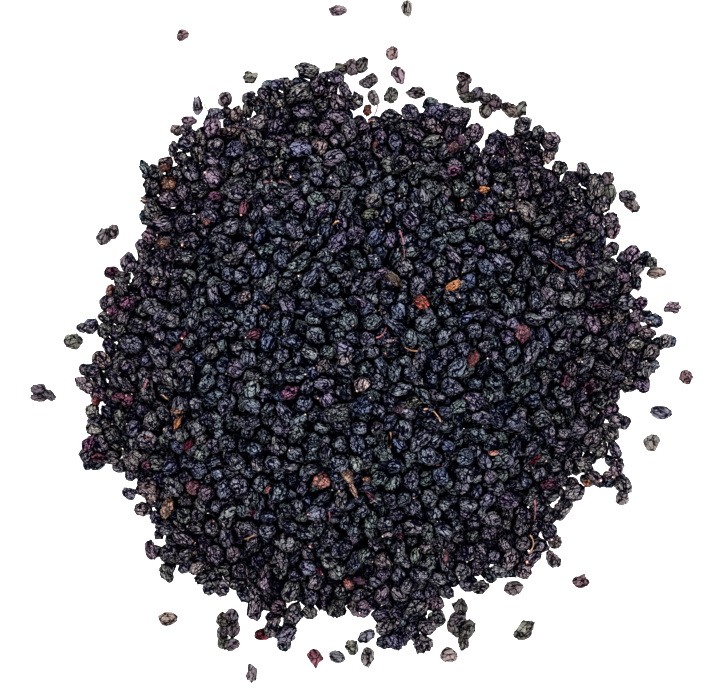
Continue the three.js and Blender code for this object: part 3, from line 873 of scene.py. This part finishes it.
def dress_heap(berries, crowd_of):
    """Skins and calyxes for the heap's berries, plainer where they show less."""
    batches, hidden = [Skins()], Skins()
    calyxes, rims = Bits(), Bits()
    for berry in berries:
        if berry.seen_above >= MEDIUM_ABOVE or berry.seen >= MEDIUM_AROUND:
            if batches[-1].triangle_count > PIECE_LIMIT:
                batches.append(Skins())
            shapes = FINE if berry.seen_above >= FINE_ABOVE else MEDIUM
            skin = batches[-1].add(berry, shapes, crowd_of[berry])
            if rng.random() < CALYX_SHARE:
                add_calyx(berry, skin, calyxes, rims)
        else:
            shapes = PLAIN if berry.seen >= PLAIN_AROUND else ROUGH
            hidden.add(berry, shapes, crowd_of[berry])
    return batches, hidden, calyxes, rims


def place_piece(piece, node):
    """Hands a piece over: what it rides on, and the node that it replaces."""
    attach(piece, "root")
    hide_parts(node)


# ---- materials


def new_material(name):
    """A material, its nodes and links, and its shader."""
    material = bpy.data.materials.new(name)
    material.use_nodes = True
    nodes, links = material.node_tree.nodes, material.node_tree.links
    return material, nodes, links, nodes["Principled BSDF"]


def ramp(nodes, stops):
    """A colour ramp with stops of (position, grey level or colour)."""
    node = nodes.new("ShaderNodeValToRGB")
    elements = node.color_ramp.elements
    while len(elements) < len(stops):
        elements.new(0.5)
    for element, (at, value) in zip(elements, stops):
        element.position = at
        element.color = (value, value, value, 1) if isinstance(value, float) else (*value, 1)
    return node


def noise(nodes, links, vector, scale, detail, rough):
    """The level of a noise at a vector."""
    node = nodes.new("ShaderNodeTexNoise")
    node.inputs["Scale"].default_value = scale
    node.inputs["Detail"].default_value = detail
    node.inputs["Roughness"].default_value = rough
    links.new(vector, node.inputs["Vector"])
    return node.outputs["Fac"]


def attribute(nodes, name):
    """The outputs of a value kept at the mesh's points."""
    node = nodes.new("ShaderNodeAttribute")
    node.attribute_name = name
    return node.outputs


def math_node(nodes, links, kind, *values):
    """The result of a sum with numbers or other nodes' outputs."""
    node = nodes.new("ShaderNodeMath")
    node.operation = kind
    for socket, value in zip(node.inputs, values):
        if isinstance(value, float):
            socket.default_value = value
        else:
            links.new(value, socket)
    return node.outputs[0]


def mixed(nodes, links, share, a, b, blend="MIX"):
    """Colour a with a share of colour b, both given as colours or outputs."""
    node = nodes.new("ShaderNodeMix")
    node.data_type = "RGBA"
    node.blend_type = blend
    sockets = [socket for socket in node.inputs if socket.enabled]
    for socket, value in zip(sockets, (share, a, b)):
        if isinstance(value, float):
            socket.default_value = value
        elif isinstance(value, tuple):
            socket.default_value = (*value, 1)
        else:
            links.new(value, socket)
    return node.outputs["Result"]


def creases(nodes, links, vector, scale, width):
    """Thin lines that wander over the skin: 1 on a line, 0 away from it."""
    level = noise(nodes, links, vector, scale, 1.5, 0.5)
    off = math_node(nodes, links, "ABSOLUTE", math_node(nodes, links, "SUBTRACT", level, 0.5))
    line = ramp(nodes, [(0.0, 1.0), (0.5 * width, 1.0), (0.8 * width, 0.0)])
    links.new(off, line.inputs["Fac"])
    return line.outputs["Color"]


def warped(nodes, links, vector, scale, amount):
    """The vector, pushed about by a smooth noise."""
    node = nodes.new("ShaderNodeTexNoise")
    node.inputs["Scale"].default_value = scale
    node.inputs["Detail"].default_value = 1.0
    links.new(vector, node.inputs["Vector"])
    push = nodes.new("ShaderNodeVectorMath")
    push.operation = "MULTIPLY_ADD"
    links.new(node.outputs["Color"], push.inputs[0])
    push.inputs[1].default_value = (amount, amount, amount)
    links.new(vector, push.inputs[2])
    return push.outputs[0]


def facets(nodes, links, vector, scale, stops):
    """Dented facets between creases: how clear of a crease a point is, and its facet's tone."""
    edge = nodes.new("ShaderNodeTexVoronoi")
    edge.feature = "DISTANCE_TO_EDGE"
    cell = nodes.new("ShaderNodeTexVoronoi")
    for node in (edge, cell):
        node.inputs["Scale"].default_value = scale
        links.new(vector, node.inputs["Vector"])
    clear = ramp(nodes, stops)
    links.new(edge.outputs["Distance"], clear.inputs["Fac"])
    return clear.outputs["Color"], cell.outputs["Color"]


def skin_relief(nodes, links, place, soft, coarse, net):
    """Height of a skin: dented facets between creases, with ridges and thin raised lines."""
    crest = ramp(nodes, [(0.38, 0.0), (0.48, 0.3), (0.65, 1.0)])
    links.new(attribute(nodes, "ridge")["Fac"], crest.inputs["Fac"])
    lines = creases(nodes, links, place, 0.65, 0.04)
    fine_lines = creases(nodes, links, place, 1.5, 0.05)
    bent = warped(nodes, links, place, 0.5, 1.6)
    clear, cell = facets(nodes, links, bent, coarse, [(0.03, soft), (0.09, 1.0)])
    fine_clear = facets(nodes, links, bent, 1.6, [(0.05, max(0.0, 1.0 - 1.65 * net)), (0.13, 1.0)])[0]
    # each facet's random tone also sets how pale it is painted, as if the facets faced the lamps
    # differently: painted light
    tone = ramp(nodes, [(0.3, 0.3 + 0.5 * soft), (0.7, 0.75 + 0.25 * soft)])
    links.new(cell, tone.inputs["Fac"])
    height = math_node(nodes, links, "MULTIPLY_ADD", crest.outputs["Color"], 0.28, tone.outputs["Color"])
    height = math_node(nodes, links, "MULTIPLY_ADD", lines, 0.6, height)
    height = math_node(nodes, links, "MULTIPLY_ADD", fine_lines, 1.6 * net, height)
    height = math_node(nodes, links, "MULTIPLY", height, clear)
    return math_node(nodes, links, "MULTIPLY", height, fine_clear)


def skin_paleness(nodes, links, place, height, bloom_and_shade, soft, share, peak):
    """How pale a skin is: a waxy bloom worn in patches, with painted highlight on what stands up, painted
    shade in the cracks that cut it, and painted shade where neighbours touch.
    """
    worn = ramp(nodes, [(0.35, 0.45), (0.55, 1.0)])
    links.new(noise(nodes, links, place, 0.35, 2.0, 0.5), worn.inputs["Fac"])
    paleness = math_node(nodes, links, "MULTIPLY", height, worn.outputs["Color"])
    cuts = creases(nodes, links, place, 0.7, 0.045)
    kept = math_node(nodes, links, "MULTIPLY_ADD", cuts, soft - 1.0, 1.0)
    paleness = math_node(nodes, links, "MULTIPLY", paleness, kept)
    paleness = math_node(nodes, links, "MULTIPLY", paleness, bloom_and_shade)
    paleness = math_node(nodes, links, "MULTIPLY", paleness, share)
    return math_node(nodes, links, "MINIMUM", paleness, peak)


def add_bump(nodes, links, height, strength, distance, shader):
    """Bends a shader's normals by a height."""
    bump = nodes.new("ShaderNodeBump")
    bump.inputs["Strength"].default_value = strength
    bump.inputs["Distance"].default_value = distance
    links.new(height, bump.inputs["Height"])
    links.new(bump.outputs["Normal"], shader.inputs["Normal"])


def berry_material(name, valley, body, flush_shares, blush, share, peak, gloss, soft, coarse, net):
    """Shrunken skin: deep valleys between ridges painted near-black as shade, ridges paler with a waxy
    bloom and painted highlight, blushing in patches.
    """
    material, nodes, links, shader = new_material(name)
    place = attribute(nodes, "place")["Vector"]
    skin = attribute(nodes, "skin")
    height = skin_relief(nodes, links, place, soft, coarse, net)
    paleness = skin_paleness(nodes, links, place, height, skin["Alpha"], soft, share, peak)
    flush = ramp(nodes, [(0.55, flush_shares[0]), (0.7, flush_shares[1])])
    links.new(noise(nodes, links, place, 0.22, 2.0, 0.5), flush.inputs["Fac"])
    pale = mixed(nodes, links, flush.outputs["Color"], skin["Color"], blush)
    # painted shade and highlight: low parts of the relief take the near-black valley colour, high parts
    # the pale one
    deep = mixed(nodes, links, 1.0, skin["Color"], valley, "MULTIPLY")
    flat = mixed(nodes, links, 1.0, skin["Color"], body, "MULTIPLY")
    rise = ramp(nodes, [(0.04, 0.0), (0.19, 1.0)])
    links.new(paleness, rise.inputs["Fac"])
    crown = ramp(nodes, [(0.1, 0.0), (1.0, 1.0)])
    links.new(paleness, crown.inputs["Fac"])
    under = mixed(nodes, links, rise.outputs["Color"], deep, flat)
    links.new(mixed(nodes, links, crown.outputs["Color"], under, pale), shader.inputs["Base Color"])
    dull = ramp(nodes, [(0.0, 0.55 - 0.6 * gloss), (1.0, 0.4 - 0.4 * gloss)])
    links.new(height, dull.inputs["Fac"])
    links.new(dull.outputs["Color"], shader.inputs["Roughness"])
    shader.inputs["Specular IOR Level"].default_value = gloss
    add_bump(nodes, links, height, 0.9, 0.25 * MM, shader)
    return material


def plant_material(name, light, dark, scale, rough):
    """Dry stalk, husk or calyx: mottled, finely grooved."""
    material, nodes, links, shader = new_material(name)
    place = nodes.new("ShaderNodeTexCoord")
    mottle = noise(nodes, links, place.outputs["Object"], scale, 4.0, 0.7)
    tone = ramp(nodes, [(0.3, dark), (0.7, light)])
    links.new(mottle, tone.inputs["Fac"])
    links.new(tone.outputs["Color"], shader.inputs["Base Color"])
    shader.inputs["Roughness"].default_value = rough
    add_bump(nodes, links, mottle, 0.7, 0.1 * MM, shader)
    return material


# ---- the pieces

DARK = berry_material(
    "dark_berry_skin",
    valley=(0.004, 0.0035, 0.017),
    body=(0.30, 0.306, 0.368),
    flush_shares=(0.0, 0.57),
    blush=(0.50, 0.23, 0.29),
    share=0.47,
    peak=0.44,
    gloss=0.03,
    soft=0.0,
    coarse=0.47,
    net=0.48,
)
LONE = berry_material(
    "lone_berry_skin",
    valley=(0.012, 0.008, 0.014),
    body=(0.27, 0.25, 0.255),
    flush_shares=(0.0, 0.7),
    blush=(0.42, 0.19, 0.22),
    share=0.56,
    peak=0.42,
    gloss=0.06,
    soft=0.14,
    coarse=0.45,
    net=0.28,
)
TINTED = berry_material(
    "tinted_berry_skin",
    valley=(0.04, 0.015, 0.025),
    body=(0.42, 0.35, 0.42),
    flush_shares=(0.3, 0.75),
    blush=(0.85, 0.60, 0.48),
    share=0.6,
    peak=0.85,
    gloss=0.5,
    soft=0.06,
    coarse=0.46,
    net=0.45,
)
CALYX = plant_material("withered_calyx", (0.95, 0.87, 0.70), (0.62, 0.43, 0.26), 900.0, 0.6)
STRAW = plant_material("straw", (0.62, 0.38, 0.24), (0.32, 0.16, 0.09), 900.0, 0.6)
PINK_STALK = plant_material("pink_stalk", (0.45, 0.19, 0.19), (0.20, 0.06, 0.07), 700.0, 0.55)

pile, allowed = fill_heap()
coloured, berries = coloured_guests(pile.berries)
tinted, ridged, berries = tinted_guests(berries)
guests = coloured + tinted
pile.berries = guests + berries + ridged
plug_holes(pile, allowed)
berries = pile.berries
look_round(berries)
crowd_of = dict(zip(berries, crowds(berries)))

batches, hidden, calyxes, rims = dress_heap(berries[len(guests) :], crowd_of)
strays = Skins()
for guest in tinted:
    strays.add(guest, FINE, crowd_of[guest])
straw_stalks, pink_stalks = Bits(), Bits()
for tint, path in STALKS:
    (straw_stalks if tint == "tan" else pink_stalks).add_stalk(berries, path)

for number, batch in enumerate(batches, 1):
    place_piece(batch.make(f"heap_berries_{number:02d}", DARK), "berry_heap")
place_piece(hidden.make("heap_inner_berries", DARK), "berry_heap")
place_piece(strays.make("heap_tinted_berries", TINTED), "berry_heap")
place_piece(calyxes.make("calyx_crowns", CALYX), "berry_heap")
place_piece(rims.make("calyx_rims", PINK_STALK), "berry_heap")
place_piece(straw_stalks.make("straw_stalks", STRAW), "berry_heap")
place_piece(pink_stalks.make("pink_stalks", PINK_STALK), "berry_heap")

for (node, _, _), guest in zip(COLOURED, coloured):
    single = Skins()
    single.add(guest, ROUND, crowd_of[guest])
    place_piece(single.make(node + "_skin", TINTED), node)

for number, places in enumerate(LOOSE, 1):
    kind = "berry_knot" if len(places) > 1 else "loose_berry"
    node = f"{kind}_{number:02d}"
    hue = RIDGE_COLOURS.get(LOOSE_TINTS.get(number))
    tone = np.array(LOOSE_TONE) * KNOT_SHADES.get(len(places), LARGE_KNOT_SHADE)
    members = [lying(place, hue or draw_skin(1.5) * tone) for place in places]
    knot = Skins()
    for berry in members:
        knot.add(berry, FINEST, members, (0.82, 1.12))
    place_piece(knot.make(node + "_skin", LONE), node)


# ---- floor, light and camera

bpy.ops.mesh.primitive_plane_add(size=1.6)
floor = bpy.context.object
floor.name = "floor"
white, nodes, links, shader = new_material("white_floor")
shader.inputs["Base Color"].default_value = (0.92, 0.92, 0.92, 1)
shader.inputs["Roughness"].default_value = 0.9
shader.inputs["Specular IOR Level"].default_value = 0.1
shader.inputs["Emission Color"].default_value = (1, 1, 1, 1)
shader.inputs["Emission Strength"].default_value = 1.0
floor.data.materials.append(white)


DAYLIGHT = (0.95, 0.97, 1.0)
LAMP_RING = 0.42  # radius of the circle in which the lamps hang
LAMP_HEIGHT = 0.75
LAMP_SIZE = 0.22


def area_light(name, at, power):
    """A round lamp that faces the middle of the heap's foot."""
    data = bpy.data.lights.new(name, "AREA")
    data.shape = "DISK"
    data.size = LAMP_SIZE
    data.energy = power
    data.color = DAYLIGHT
    light = bpy.data.objects.new(name, data)
    light.location = at
    light.rotation_euler = (Vector((0, 0, 0)) - Vector(at)).to_track_quat("-Z", "Y").to_euler()
    bpy.context.scene.collection.objects.link(light)


for k, power in enumerate([3, 1.5, 1.2, 2]):
    angle = math.radians(75 + 90 * k)
    spot = (LAMP_RING * math.cos(angle), LAMP_RING * math.sin(angle), LAMP_HEIGHT)
    area_light(f"softbox_{k + 1}", spot, power)

world = bpy.data.worlds.new("studio")
world.use_nodes = True
backdrop = world.node_tree.nodes["Background"]
backdrop.inputs["Color"].default_value = (*DAYLIGHT, 1)
backdrop.inputs["Strength"].default_value = 0.85
bpy.context.scene.world = world

bpy.context.scene.view_settings.view_transform = "Standard"
bpy.context.scene.view_settings.look = "High Contrast"

PIXEL = 0.28  # millimetres on the floor for one pixel of the picture
PICTURE = (713, 700)  # its width and height in pixels
ORIGIN = (362, 360)  # the pixel of the frame's origin
CAMERA_HEIGHT = 3.0  # metres
camera_data = bpy.data.cameras.new("camera")
camera = bpy.data.objects.new("camera", camera_data)
camera.location = (
    (PICTURE[0] / 2 - ORIGIN[0]) * PIXEL * MM,
    (ORIGIN[1] - PICTURE[1] / 2) * PIXEL * MM,
    CAMERA_HEIGHT,
)
camera_data.sensor_fit = "HORIZONTAL"
camera_data.angle = 2 * math.atan(PICTURE[0] * PIXEL * MM / 2 / CAMERA_HEIGHT)
bpy.context.scene.collection.objects.link(camera)
bpy.context.scene.camera = camera
